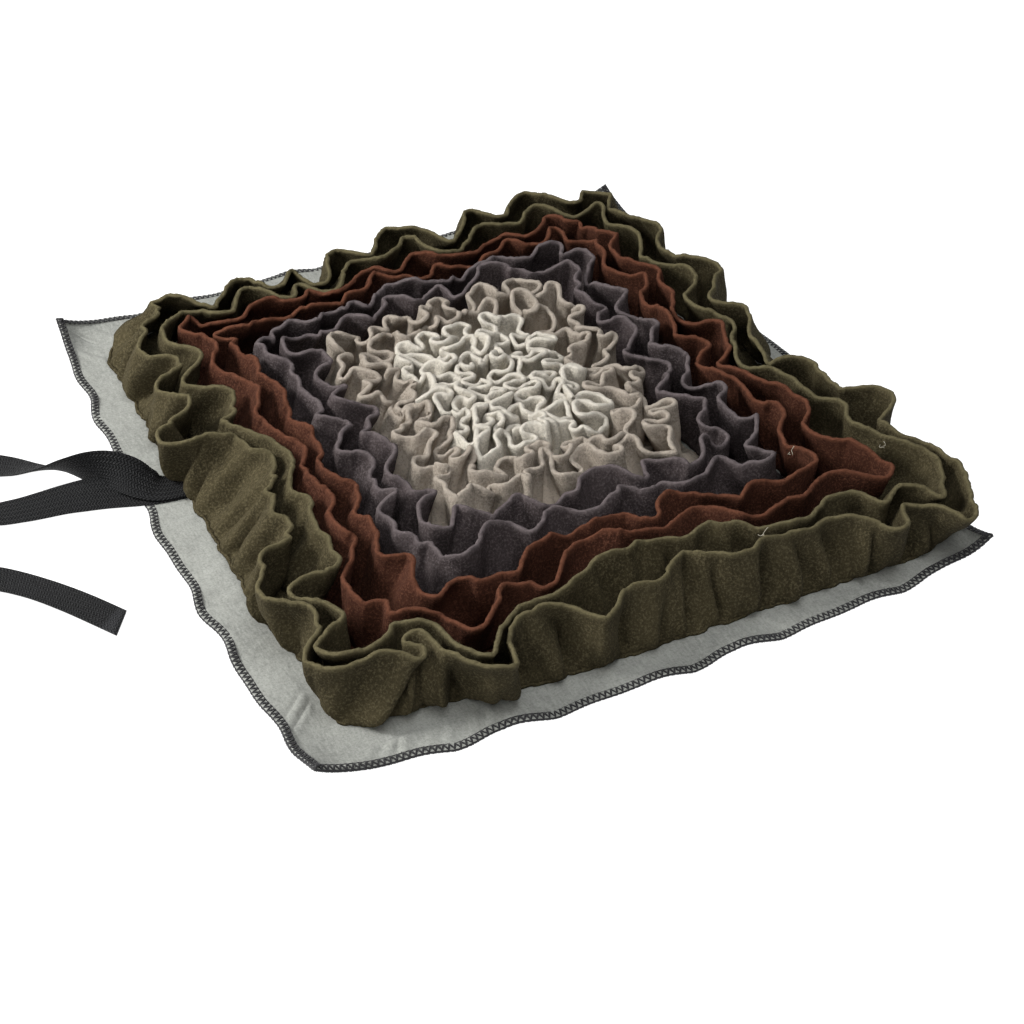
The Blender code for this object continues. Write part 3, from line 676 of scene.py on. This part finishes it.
def felt(name):
    """Grey needled felt with short fibres, faint smudges and flattened places."""
    made = Nodes(name, Roughness=0.95, Sheen_Weight=0.15, Specular_IOR_Level=0.2)
    here = made.place("Object")
    cloudy = made.noise(here, 22.0, 4.0, 0.6)
    fibres = made.noise(made.place("Object", (1.0, 0.25, 1.0), 0.6), 620.0, 4.0, 0.75)
    crossed = made.noise(made.place("Object", (0.25, 1.0, 1.0), 0.3), 560.0, 4.0, 0.75)
    both = made.plus(made.times(fibres, 0.5), made.times(crossed, 0.5))
    base = made.mix(made.span(cloudy, 0.3, 0.7), (0.190, 0.196, 0.182), (0.305, 0.313, 0.290))
    colour = made.mix(made.span(both, 0.40, 0.64), base, (0.385, 0.395, 0.365))
    colour = made.mix(made.span(crossed, 0.52, 0.72, 0.0, 0.60), colour, (0.14, 0.144, 0.135))
    speck = made.noise(here, 760.0, 2.0, 0.7)
    colour = made.mix(made.span(speck, 0.30, 0.52, 0.38, 0.0), colour, (0.11, 0.113, 0.106))
    soft = made.bump(made.noise(here, 95.0, 3.0, 0.5), 0.45, 0.0018)
    return made.finish(Base_Color=colour, Normal=made.bump(both, 0.6, 0.0006, Normal=soft))


def webbing(name):
    """Black webbing: ribs across it, each made of small slanting floats of yarn."""
    made = Nodes(name, Roughness=0.6, Sheen_Weight=0.02, Specular_IOR_Level=0.2)
    split = made.add("SeparateXYZ", Vector=made.place("UV"))
    along, across = split.outputs[0], split.outputs[1]
    lean = made.times(made.sums("PINGPONG", across, 0.0021), 0.8)
    rib = made.sums("SINE", made.times(made.plus(along, lean), 2 * math.pi / 0.0020))
    yarn = made.sums("SINE", made.times(across, 2 * math.pi / 0.0021))
    weave = made.times(made.span(rib, -1, 1), made.span(yarn, -1, 1, 0.35, 1.0))
    fluff = made.noise(made.place("Object"), 900.0, 2.0, 0.6)
    colour = made.mix(weave, (0.0020, 0.0021, 0.0024), (0.018, 0.019, 0.021))
    colour = made.mix(made.span(fluff, 0.55, 0.85, 0.0, 0.4), colour, (0.026, 0.027, 0.029))
    colour = made.mix(made.times(made.rim(), 0.8), colour, (0.026, 0.027, 0.030))
    rough = made.span(weave, 0.0, 1.0, 0.75, 0.5)
    return made.finish(Base_Color=colour, Normal=made.bump(weave, 1.0, 0.0008), Roughness=rough)


def thread(name, dark, light):
    """Sewing thread: two twisted plies."""
    made = Nodes(name, Roughness=0.7, Sheen_Weight=0.2, Specular_IOR_Level=0.35)
    twist = made.noise(made.place("Object"), 1500.0, 2.0, 0.6)
    colour = made.mix(made.span(twist, 0.3, 0.7), dark, light)
    return made.finish(Base_Color=colour, Normal=made.bump(twist, 0.7, 0.0004))


def floor_material(name):
    """A white table lit from inside."""
    made = Nodes(name, Roughness=0.9, Specular_IOR_Level=0.0, Emission_Color=(1.0, 1.0, 1.0, 1.0),
                 Emission_Strength=1.0)
    faint = made.noise(made.place("Object"), 3.0, 2.0, 0.5)
    return made.finish(Base_Color=made.mix(faint, (0.30, 0.30, 0.30), (0.32, 0.32, 0.32)))


# The fleeces: pile, its lit tips, the cut rim painted lighter as a highlight, sheen, and how much paler
# the lower cloth is painted, as painted fill light in shaded channels.
CLOTHS = {"fleece_" + line[0]: fleece(line[0] + " fleece", *line[1:]) for line in (
    ("olive", (0.064, 0.053, 0.028), (0.104, 0.088, 0.050), (0.132, 0.114, 0.062), 0.06),
    ("brown", (0.068, 0.026, 0.016), (0.112, 0.046, 0.028), (0.128, 0.050, 0.029), 0.07),
    ("plum", (0.072, 0.058, 0.059), (0.118, 0.098, 0.100), (0.136, 0.114, 0.117), 0.07),
    ("taupe", (0.345, 0.298, 0.248), (0.380, 0.332, 0.280), (0.385, 0.337, 0.286), 0.08, 1.55),
    ("cream", (0.610, 0.569, 0.490), (0.610, 0.571, 0.498), (0.600, 0.562, 0.494), 0.06, 1.40),
)}
CLOTHS["felt_grey"] = felt("grey felt")
CLOTHS["webbing_black"] = webbing("black webbing")
BLACK_THREAD = thread("black thread", (0.005, 0.005, 0.006), (0.024, 0.024, 0.027))
PALE_THREAD = thread("pale thread", (0.36, 0.33, 0.25), (0.56, 0.52, 0.42))


# -------- building
def place_piece(name, data, slot, node=None, material=None):
    """The piece stands for a node of the frame, or rides beside them when node is None."""
    data.materials.append(material or CLOTHS[slot])
    piece = bpy.data.objects.new(name, data)
    bpy.context.scene.collection.objects.link(piece)
    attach(piece, "root")
    if node:
        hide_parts(node)
    return piece


def rim_values(mesh, values):
    """The mesh's share of rim at each point, for its material."""
    shares = mesh.attributes.new("rim", "FLOAT", "POINT").data
    shares.foreach_set("value", values.astype(np.float32).ravel())


def grid_mesh(name, rings, run, across, rim, closed_way=True):
    """A smooth closed skin over rings of points. Run and across give each point's flat place."""
    count, ring = rings.shape[:2]
    last = count if closed_way else count - 1
    a, b = np.arange(last)[:, None], np.arange(ring)[None]
    next_a, next_b = (a + 1) % count, (b + 1) % ring
    quads = np.stack(np.broadcast_arrays(a * ring + b, next_a * ring + b,
                                         next_a * ring + next_b, a * ring + next_b), axis=-1)
    ends = [] if closed_way else [np.arange(ring), np.arange((count - 1) * ring, count * ring)[::-1]]
    mesh = bpy.data.meshes.new(name)
    mesh.from_pydata((rings * MM).reshape(-1, 3).tolist(), [],
                     quads.reshape(-1, 4).tolist() + [end.tolist() for end in ends])
    spread = np.stack(np.broadcast_arrays(run[:, None], across[None]), axis=-1)
    flat = spread.reshape(-1, 2)[np.concatenate([quads.ravel()] + ends)]
    if closed_way:
        wrap = np.zeros((last, ring, 4), bool)
        wrap[-1, :, 1:3] = True
        flat[:, 0] += np.where(wrap.ravel(), run[-1] + run[1] - run[0], 0)
    mesh.uv_layers.new(name="flat").data.foreach_set("uv", (flat * MM).astype(np.float32).ravel())
    mesh.polygons.foreach_set("use_smooth", np.ones(len(mesh.polygons), bool))
    rim_values(mesh, np.broadcast_to(rim, rings.shape[:2]))
    return mesh


def drift(points):
    """A gentle wandering of the cloth, the same for all rows, so that none meets another."""
    x, y, z = points[..., 0], points[..., 1], points[..., 2]
    shift = np.zeros(points.shape)
    for size, wave, spin in DRIFTS:
        k = 2 * math.pi / wave
        c, s = math.cos(spin), math.sin(spin)
        u, v = c * x + s * y, c * y - s * x
        shift[..., 0] += size * np.sin(k * v + 2.1 * spin + 0.05 * z + np.sin(k * 0.63 * u))
        shift[..., 1] += size * np.sin(k * u * 0.9 + 1.3 * spin - 0.06 * z + np.sin(k * 0.57 * v))
    return shift


def face_hollows(feet, run, length, levels):
    """Depth of the outer row's hollows, full just over the seam and fading towards the rim."""
    hollow = np.zeros((len(feet), len(levels)))
    for foot_x, foot_y, depth, wide, slant in FACE_HOLLOWS:
        nearest = ((feet - (foot_x, foot_y)) ** 2).sum(axis=1).argmin()
        apart = np.mod(run - run[nearest] + length / 2, length) - length / 2
        reach = wide * (0.75 + 0.7 * levels)
        way = (apart[:, None] - slant * levels[None]) / reach[None]
        if depth < 0:
            hollow += depth * np.exp(-way**2)
            continue
        # a ridge that drops off on one side, and eases into the face on the other
        past = eased_step((way + 0.9) / (0.7 if foot_x < -195 else 1.1))
        easing = np.exp(-(np.maximum(way - 0.1, 0) / 1.4) ** 1.5)
        ridge = np.exp(-(np.minimum(way + 0.9, 0) / 1.1) ** 2)
        hollow += 0.85 * depth * (past * easing - 0.50 * (1 - past) * ridge)
    seen = np.clip((-feet[:, 0] + 190) / 390, 0, 1) * (feet[:, 1] < 190) + (feet[:, 1] < -200)
    unseen = 1 - np.clip(seen * 4, 0, 1)
    waves = wander(run, length, HIDDEN_HOLLOWS, 7) * unseen
    fading = 0.60 + 0.22 * (feet[:, 1] < -200)[:, None]
    rise = eased_step(levels / 0.17)[None] * (1 - fading * eased_step((levels - 0.42) / 0.55)[None])
    return (hollow + waves[:, None]) * rise


def strip_middle(row, feet, rims):
    """The middle of one strip's cloth: points by column and level, and their run along the rim."""
    tall = rim_height(feet, rims, row)
    rims = eased(rims, COLUMN_STEP, ROWS[row].round)
    run, length = run_of(rims)
    foot_run, foot_length = run_of(feet)
    levels = LEVELS
    ragged = wander(run, length, RAGGED, row)
    slump = ROWS[row].uneven * (wander(run, length, SLUMPS, row + 4) - 0.3)
    mound = 2.0 * np.exp(-((rims - FOOT_MID) ** 2).sum(axis=1) / 90.0**2)
    top = np.minimum(tall - 1.2 + ragged + slump + mound, RIM_Z + 3.4)[:, None]
    lean = rims - feet
    low = eased(lean, length / len(rims), LEAN_EASE)
    fold = (1 - (1 - levels) ** 1.75)[None, :, None]
    points = np.zeros((len(feet), len(levels), 3))
    points[..., :2] = (feet[:, None] + low[:, None] * levels[None, :, None]
                       + (lean - low)[:, None] * fold)
    points[..., 2] = FOOT_Z + (top - FOOT_Z) * levels[None]
    free = np.sin(math.pi * np.minimum(levels, 0.62) / 1.24)[None, :, None]
    points += drift(points) * (free * np.array([1.0, 1.0, 0.0]))
    # gathered at the seam: wide soft folds and, under them, tight pleats
    wide = wander(foot_run, foot_length, FOLDS, row + 1) * ROWS[row].swing
    gather = min(3.0, length / foot_length)
    deep = min(3.8, 1.0 + 1.7 * (gather - 1.2))
    patchy = 0.75 + 0.5 * wander(foot_run, foot_length, PATCHES, row + 2)
    tight = wander(foot_run, foot_length, PLEATS, row + 3) * deep * np.maximum(patchy, 0.15)
    wide_by = (0.25 + 0.75 * eased_step(levels / 0.22)) * (1 - eased_step((levels - 0.3) / 0.6))
    tight_by = (0.6 + 0.4 * eased_step(levels / 0.1)) * (1 - eased_step((levels - 0.08) / 0.5))
    bulge = wide[:, None] * wide_by[None] + tight[:, None] * tight_by[None]
    hollows = face_hollows(feet, foot_run, foot_length, levels) if row < 2 else 0.0
    if row == 0:
        corner = np.exp(-((feet - NEAR_LEFT) ** 2).sum(axis=1) / 50.0**2)[:, None]
        bulge += (3.6 + 5.0 * corner) * np.sin(math.pi * levels**0.68) * (1.1 - levels)
        bulge -= hollows
    if row == 1:
        bulge -= 0.45 * hollows * eased_step((levels - 0.3) / 0.3)
    points[..., :2] += outward(feet)[:, None] * bulge[..., None]
    return points, run, length


def with_margin(points, run, length, levels, wide):
    """The cloth goes on past its seam, as a flat margin on the felt."""
    foot = points[:, 0]
    out = np.pad(outward(foot), ((0, 0), (0, 1)))
    wide = wide + wander(run, length, MARGIN_WAVES, 9)
    rows = [foot + out * wide[:, None], foot + out * wide[:, None] * 0.45]
    for line in rows:
        line[:, 2] = FOOT_Z + MARGIN_Z
    points = np.concatenate([np.stack(rows, axis=1), points], axis=1)
    return points, np.concatenate([[-0.12, -0.05], levels])


def ruffle(row, feet, rims):
    """One gathered strip: pleated at its seam, folding freely above, its cut rim fluffed up."""
    kind = ROWS[row]
    name, slot = "ruffle_" + kind.name, "fleece_" + kind.name[:-2]
    points, run, length = strip_middle(row, feet, rims)
    points, levels = with_margin(points, run, length, LEVELS, kind.margin)
    along = np.roll(points, -1, axis=0) - np.roll(points, 1, axis=0)
    up = np.gradient(points, axis=1)
    normal, up = unit(np.cross(along, up)), unit(up)
    curl = kind.curl * wander(run, length, CURLS, row + 6)
    points = points + normal * (curl[:, None] * np.clip((levels - 0.74) / 0.23, 0, 1) ** 2)[..., None]
    thick = RIM_THICK if row < PALE_FROM else PALE_RIM
    puff = CLOTH_THICK / 2 + (thick - CLOTH_THICK) / 2 * np.clip((levels - 0.80) / 0.15, 0, 1)
    puff = puff[None] * (1 + wander(run, length, FLUFF, row)[:, None] * np.maximum(levels, 0)[None] ** 6)
    outer = points + normal * puff[..., None]
    inner = points - normal * puff[..., None]
    tip, rise, side = points[:, -1], up[:, -1], normal[:, -1]
    cap = [tip + (side * math.cos(angle) + rise * 0.8 * math.sin(angle)) * puff[:, -1:]
           for angle in (math.pi * 0.25, math.pi * 0.5, math.pi * 0.75)]
    rings = np.concatenate([outer, np.stack(cap, axis=1), inner[:, ::-1]], axis=1)
    rings[..., 2] = np.maximum(rings[..., 2], FOOT_Z - 0.2)
    height = np.concatenate([levels, np.array([1.02, 1.04, 1.02]), levels[::-1]]) * STRIP_TALL
    # The rim share marks where the fleece paints its rim highlight.
    rim = np.clip((np.concatenate([levels, [1.02, 1.06, 1.02], levels[::-1]]) - 0.93) / 0.07, 0, 1)
    mesh = grid_mesh(name, rings, run, height, rim)
    piece = place_piece("fine_" + name, mesh, slot, name)
    fibres("fibres_" + name, slot, tip, side, length)


def fibres(name, slot, tips, sides, length):
    """Short stray fibres standing out of a cut rim, each a thin three-sided spike."""
    luck = np.random.default_rng(len(tips))
    count = int(length * FIBRES)
    at = luck.uniform(0, len(tips), count)
    low = at.astype(int)
    share = (at - low)[:, None]
    high = (low + 1) % len(tips)
    side = sides[low] * (1 - share) + sides[high] * share
    spread = luck.uniform(-1, 1, (count, 1))
    rise = np.sqrt(1 - 0.8 * spread**2)
    root = tips[low] * (1 - share) + tips[high] * share + side * spread * RIM_THICK * 0.46
    root[:, 2:] += 0.75 * RIM_THICK / 2 * rise - FIBRE_ROOT
    way = side * spread * 1.3 + np.array([0, 0, 1.0]) * rise + luck.normal(0, 0.45, (count, 3))
    way = unit(way)
    across = unit(np.cross(way, luck.normal(0, 1, (count, 3))))
    beside = np.cross(way, across)
    ring = [root + FIBRE_R * (math.cos(turn) * across + math.sin(turn) * beside)
            for turn in (0.0, 2 * math.pi / 3, 4 * math.pi / 3)]
    tip = root + way * luck.uniform(0.5, 1.5, (count, 1))
    corners = np.stack(ring + [tip], axis=1).reshape(-1, 3)
    first = 4 * np.arange(count)[:, None, None]
    sides_of = first + np.array([[0, 1, 3], [1, 2, 3], [2, 0, 3], [2, 1, 0]])[None]
    mesh = bpy.data.meshes.new(name)
    mesh.from_pydata((corners * MM).tolist(), [], sides_of.reshape(-1, 3).tolist())
    # The fibres take the fleece's painted rim highlight.
    rim_values(mesh, np.ones(len(corners)))
    place_piece(name, mesh, slot)


def tube(name, lines, radius, material, slot, closed=True):
    """Threads: one curve of several round lines."""
    curve = bpy.data.curves.new(name, "CURVE")
    curve.dimensions = "3D"
    curve.bevel_depth = radius * MM
    curve.bevel_resolution = 1
    curve.use_fill_caps = True
    for line in lines:
        spline = curve.splines.new("POLY")
        spline.points.add(len(line) - 1)
        flat = np.concatenate([np.asarray(line) * MM, np.ones((len(line), 1))], axis=1)
        spline.points.foreach_set("co", flat.astype(np.float32).ravel())
        spline.use_cyclic_u = closed
    place_piece(name, curve, slot, material=material)


def backing_point(share, depth):
    """Top of the backing: share of the way round, depth 0 at its edge to 1 where it lies flat."""
    x, y, lift = edge_point(share)
    spot = np.array([x, y]) - FOOT_MID
    size = np.abs(spot / FLAT_HALF).max()
    inner = spot / size + FOOT_MID
    at = inner + (np.array([x, y]) - inner) * (1 - depth)
    return at[0], at[1], lift * (1 - depth) ** 2.2


def puckers(depth, share):
    """Puckers that the gathered seam draws across the border, each a crease beside a ridge."""
    run = share * 4 * (BACKING_HALF[0] + BACKING_HALF[1]) / PUCKER_STEP
    height = 0.35 * math.sin(0.7 * run + 1.5 * math.sin(0.19 * run)) * depth
    inward = min(1.0, 4 * max(0.0, depth)) * min(1.0, (1 - depth) * 6 + 0.4)
    for number in range(int(run) - 1, int(run) + 3):
        luck, other = [math.sin(number * stir) * spread % 1 for stir, spread in SHUFFLES]
        size = PUCKER_TALL * luck**2
        at = (run - number - 0.8 * other) * PUCKER_STEP + (other - 0.5) * 14 * (1 - depth) * luck
        fade = min(1.0, max(0.0, (depth - 0.75 * other) / 0.3))
        wide = PUCKER_WIDE[0] + PUCKER_WIDE[1] * other
        crease = math.exp(-(at / wide) ** 2)
        ridge = math.exp(-((at - 1.8 * wide) / (1.3 * wide)) ** 2)
        height += size * (0.9 * ridge - 0.6 * crease) * fade * inward
    return height


def backing():
    """The felt: fine round its border, where it shows, and plain under the rows."""
    count = BACKING_COLUMNS
    cloth = bmesh.new()
    rings = []
    for depth in BORDER_DEPTHS:
        ring = []
        for number in range(count):
            share = number / count
            if depth <= 1.0:
                x, y, z = backing_point(share, depth)
                z += max(0.0, puckers(depth, share) + 0.3)
            else:
                x, y, _ = backing_point(share, 1.0)
                z = 0.0
                shrink = 1 - (depth - 1) * 0.03
                x, y = [mid + (at - mid) * shrink for mid, at in zip(FOOT_MID, (x, y))]
            ring.append(cloth.verts.new((x * MM, y * MM, z * MM)))
        rings.append(ring)
    for outer, inner in zip(rings[:-1], rings[1:]):
        for a in range(count):
            b = (a + 1) % count
            cloth.faces.new((outer[a], outer[b], inner[b], inner[a]))
    cloth.faces.new(rings[-1])
    mesh = bpy.data.meshes.new("fine_backing")
    cloth.to_mesh(mesh)
    cloth.free()
    mesh.polygons.foreach_set("use_smooth", np.ones(len(mesh.polygons), bool))
    piece = place_piece("fine_backing", mesh, "felt_grey", "backing")
    solid = piece.modifiers.new("cloth thickness", "SOLIDIFY")
    solid.thickness = BACKING_THICK * MM
    solid.offset = 1.0
    return piece


def overlock():
    """The black overlocked edge: a cord of loops on the rim, slanting loops and a needle line."""
    ring = np.array([backing_point(number / 3000, 0.0) for number in range(3000)])
    run, length = run_of(ring)
    closed = np.concatenate([ring, ring[:1]])
    at_run = np.concatenate([run, [length]])

    def at(distance):
        return picked(np.mod(distance, length), at_run, closed)

    stitches = int(round(length / OVERLOCK_PITCH))
    pitch = length / stitches

    def edge_frame(distance):
        way = unit(at(distance + 1.5) - at(distance - 1.5))
        return at(distance), unit(np.stack([-way[:, 1], way[:, 0], np.zeros(len(way))], axis=-1))

    fine = np.arange(0, length, 1.6)
    spots, inward = edge_frame(fine)
    wobble = np.sin(2 * math.pi * fine / pitch)
    bead = spots + inward * (0.1 + 0.22 * wobble[:, None])
    bead[:, 2] += BACKING_THICK * 0.55 + 0.1 * np.cos(2 * math.pi * fine / pitch)
    tube("overlock_edge", [bead], EDGE_R, BLACK_THREAD, "webbing_black")
    needle = spots + inward * (OVERLOCK_WIDE + 0.12 * wobble[:, None])
    needle[:, 2] += BACKING_THICK + 0.12
    tube("overlock_needle", [needle], NEEDLE_R, BLACK_THREAD, "webbing_black")
    parts = np.array(LOOPER_PATH)
    distance = (np.arange(stitches)[:, None] + parts[None, :, 0]).ravel() * pitch
    spots, inward = edge_frame(distance)
    depth = np.tile(parts[:, 1], stitches)
    zigzag = spots + inward * depth[:, None]
    zigzag[:, 2] += BACKING_THICK - 1.0 + np.tile(parts[:, 2], stitches)
    tube("overlock_loops", [zigzag], LOOPER_R, BLACK_THREAD, "webbing_black")


def loose_threads():
    """Pulled ends of fleece, each a small tangle caught on a rim."""
    lines = []
    share = np.linspace(0, 1, 22)
    for x, y, z, size in LOOSE_ENDS:
        for number, (length, lift) in enumerate(((1.0, 2.6), (0.6, 1.2))):
            turn = 5.0 * share + 2.2 * number + 0.3 * x
            far, aim = size * length * share, 0.7 + 2.0 * number
            lines.append(np.stack([x + far * math.cos(aim) + 0.8 * np.sin(turn),
                                   y + far * math.sin(aim) + 0.7 * np.cos(turn),
                                   z + lift * share + 0.5 * np.sin(1.7 * turn)], axis=1))
    tube("loose_threads", lines, LOOSE_R, PALE_THREAD, "fleece_cream", closed=False)


def tail(name, sections, slant):
    """A length of webbing with soft selvedges and a heat-sealed free end."""
    table = smoothed(np.array(sections, float), 10)
    middle = table[:, :3]
    roll = np.radians(table[:, 3])
    way = unit(np.gradient(middle, axis=0))
    level = unit(np.cross([0, 0, -1.0], way))
    rise = np.cross(level, way)
    rise *= np.sign(rise[:, 2:])
    across = level * np.cos(roll)[:, None] + rise * np.sin(roll)[:, None]
    face = np.cross(way, across)
    steps = np.array(TAIL_ACROSS)
    half = WEB_THICK / 2 * np.sqrt(np.clip(1 - np.abs(steps) ** 14, 0.1, 1))
    run = np.concatenate([[0], np.cumsum(np.linalg.norm(np.diff(middle, axis=0), axis=1))])
    ribs = 1 + 0.05 * np.sin(2 * math.pi * run / 1.9)
    spine = middle[:, None] + across[:, None] * (steps * WEB_WIDE / 2)[None, :, None]
    near_end = np.clip(1 - (run[-1] - run) / 22.0, 0, 1)
    spine += way[:, None] * (near_end[:, None] * steps[None] * slant)[..., None]
    skin = face[:, None] * (half[None] * ribs[:, None])[..., None]
    rings = np.concatenate([spine + skin, (spine - skin)[:, ::-1]], axis=1)
    width = np.concatenate([steps, steps[::-1]]) * WEB_WIDE / 2 + WEB_WIDE
    seal = np.clip((run - run[-1] + 9.0) / 1.5, 0, 1)
    mesh = grid_mesh(name, rings, run, width, seal[:, None], closed_way=False)
    piece = place_piece("fine_" + name, mesh, "webbing_black", name)


# -------- the mat
felt_piece = backing()
feet, rims, rows = packed_rows(*folded_rows())
for row in range(len(ROWS)):
    ruffle(row, feet[rows == row], rims[rows == row])
overlock()
loose_threads()
tail("strap_lower", TAIL_LOWER, 7.0)
tail("strap_upper", TAIL_UPPER, -3.0)

# -------- the studio
ground = bpy.data.meshes.new("floor")
ground.from_pydata([(-4, -4, 0), (4, -4, 0), (4, 4, 0), (-4, 4, 0)], [], [(0, 1, 2, 3)])
ground.materials.append(floor_material("pale floor"))
floor = bpy.data.objects.new("floor", ground)
floor.location = (0, 0, -0.0006)
floor.visible_diffuse = False
bpy.context.scene.collection.objects.link(floor)

# Square lamps aimed at the mat's middle: name, place, width, power and colour.
for name, spot, wide, power, colour in (
        ("key", (-1.04, 0.38, 0.74), 0.45, 18.5, (1.0, 0.99, 0.965)),
        ("fill", (0.1, -0.2, 1.80), 1.0, 10.0, (0.97, 0.98, 1.0)),
        ("near_fill", (-1.10, -0.80, 0.42), 0.35, 3.4, (1.0, 0.985, 0.96)),
        ("front_fill", (-0.30, -0.80, 1.35), 0.9, 5.0, (1.0, 0.99, 0.97))):
    light = bpy.data.lights.new(name, "AREA")
    light.shape = "RECTANGLE"
    light.size = light.size_y = wide
    light.energy = power
    light.color = colour
    lamp = bpy.data.objects.new(name, light)
    lamp.location = spot
    lamp.rotation_euler = (math.atan2(math.hypot(spot[0], spot[1]), spot[2]), 0.0,
                           math.atan2(-spot[1], -spot[0]) - math.pi / 2)
    bpy.context.scene.collection.objects.link(lamp)

world = bpy.data.worlds.new("studio")
world.use_nodes = True
world.node_tree.nodes["Background"].inputs["Color"].default_value = (1.0, 1.0, 1.0, 1.0)
world.node_tree.nodes["Background"].inputs["Strength"].default_value = 0.25
bpy.context.scene.world = world
bpy.context.scene.view_settings.view_transform = "Standard"
